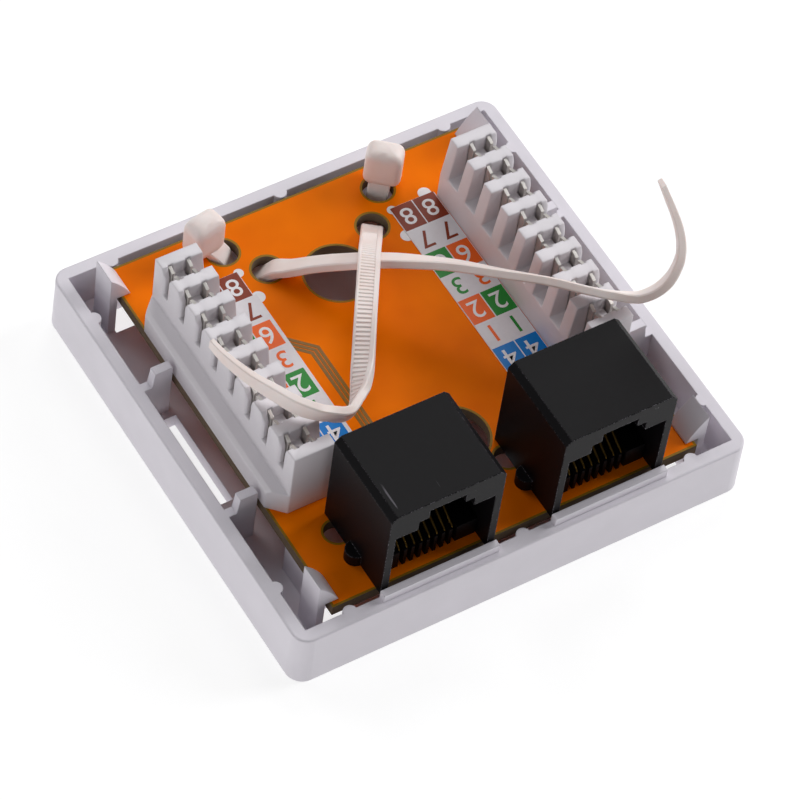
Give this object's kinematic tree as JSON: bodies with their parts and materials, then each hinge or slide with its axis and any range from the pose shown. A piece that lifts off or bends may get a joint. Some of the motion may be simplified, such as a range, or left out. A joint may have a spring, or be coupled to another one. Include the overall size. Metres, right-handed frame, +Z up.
{
  "type": "ethernet socket",
  "caption": "Surface-mount ethernet outlet with its cover off: moulded tray, circuit board, modular jacks, punch-down blocks, wiring labels and loosely threaded cable ties.",
  "frame": {"origin": "centre of the tray's underside, which lies on the wall or floor", "axes": "+X across the outlet to the right as seen from the ports, +Y from the ports to the back wall, +Z up from the underside"},
  "size_m": [0.0622, 0.06, 0.0423],
  "materials": {
    "tray_plastic": "injection-moulded, fine matt",
    "board_laminate": "orange solder mask over copper on glass-fibre laminate",
    "jack_plastic": "black injection-moulded, low sheen",
    "contact_gold": "gold-flashed spring wire",
    "idc_plastic": "white injection-moulded, low sheen",
    "contact_tin": "tin-plated stamped bronze",
    "label_film": "printed film",
    "tie_nylon": "natural moulded nylon, slightly translucent"
  },
  "bodies": {
    "root": {"base_tray": "tray_plastic", "circuit_board": "board_laminate", "jack_housing_left": "jack_plastic", "jack_carrier_left": "jack_plastic", "jack_contact_left_1": "contact_gold", "jack_contact_left_2": "contact_gold", "jack_contact_left_3": "contact_gold", "jack_contact_left_4": "contact_gold", "jack_contact_left_5": "contact_gold", "jack_contact_left_6": "contact_gold", "jack_contact_left_7": "contact_gold", "jack_contact_left_8": "contact_gold", "idc_housing_left": "idc_plastic", "idc_contact_left_1": "contact_tin", "idc_contact_left_2": "contact_tin", "idc_contact_left_3": "contact_tin", "idc_contact_left_4": "contact_tin", "idc_contact_left_5": "contact_tin", "idc_contact_left_6": "contact_tin", "idc_contact_left_7": "contact_tin", "idc_contact_left_8": "contact_tin", "wiring_label_left": "label_film", "cable_tie_left": "tie_nylon", "jack_housing_right": "jack_plastic", "jack_carrier_right": "jack_plastic", "jack_contact_right_1": "contact_gold", "jack_contact_right_2": "contact_gold", "jack_contact_right_3": "contact_gold", "jack_contact_right_4": "contact_gold", "jack_contact_right_5": "contact_gold", "jack_contact_right_6": "contact_gold", "jack_contact_right_7": "contact_gold", "jack_contact_right_8": "contact_gold", "idc_housing_right": "idc_plastic", "idc_contact_right_1": "contact_tin", "idc_contact_right_2": "contact_tin", "idc_contact_right_3": "contact_tin", "idc_contact_right_4": "contact_tin", "idc_contact_right_5": "contact_tin", "idc_contact_right_6": "contact_tin", "idc_contact_right_7": "contact_tin", "idc_contact_right_8": "contact_tin", "wiring_label_right": "label_film", "cable_tie_right": "tie_nylon"}
  },
  "joints": []
}
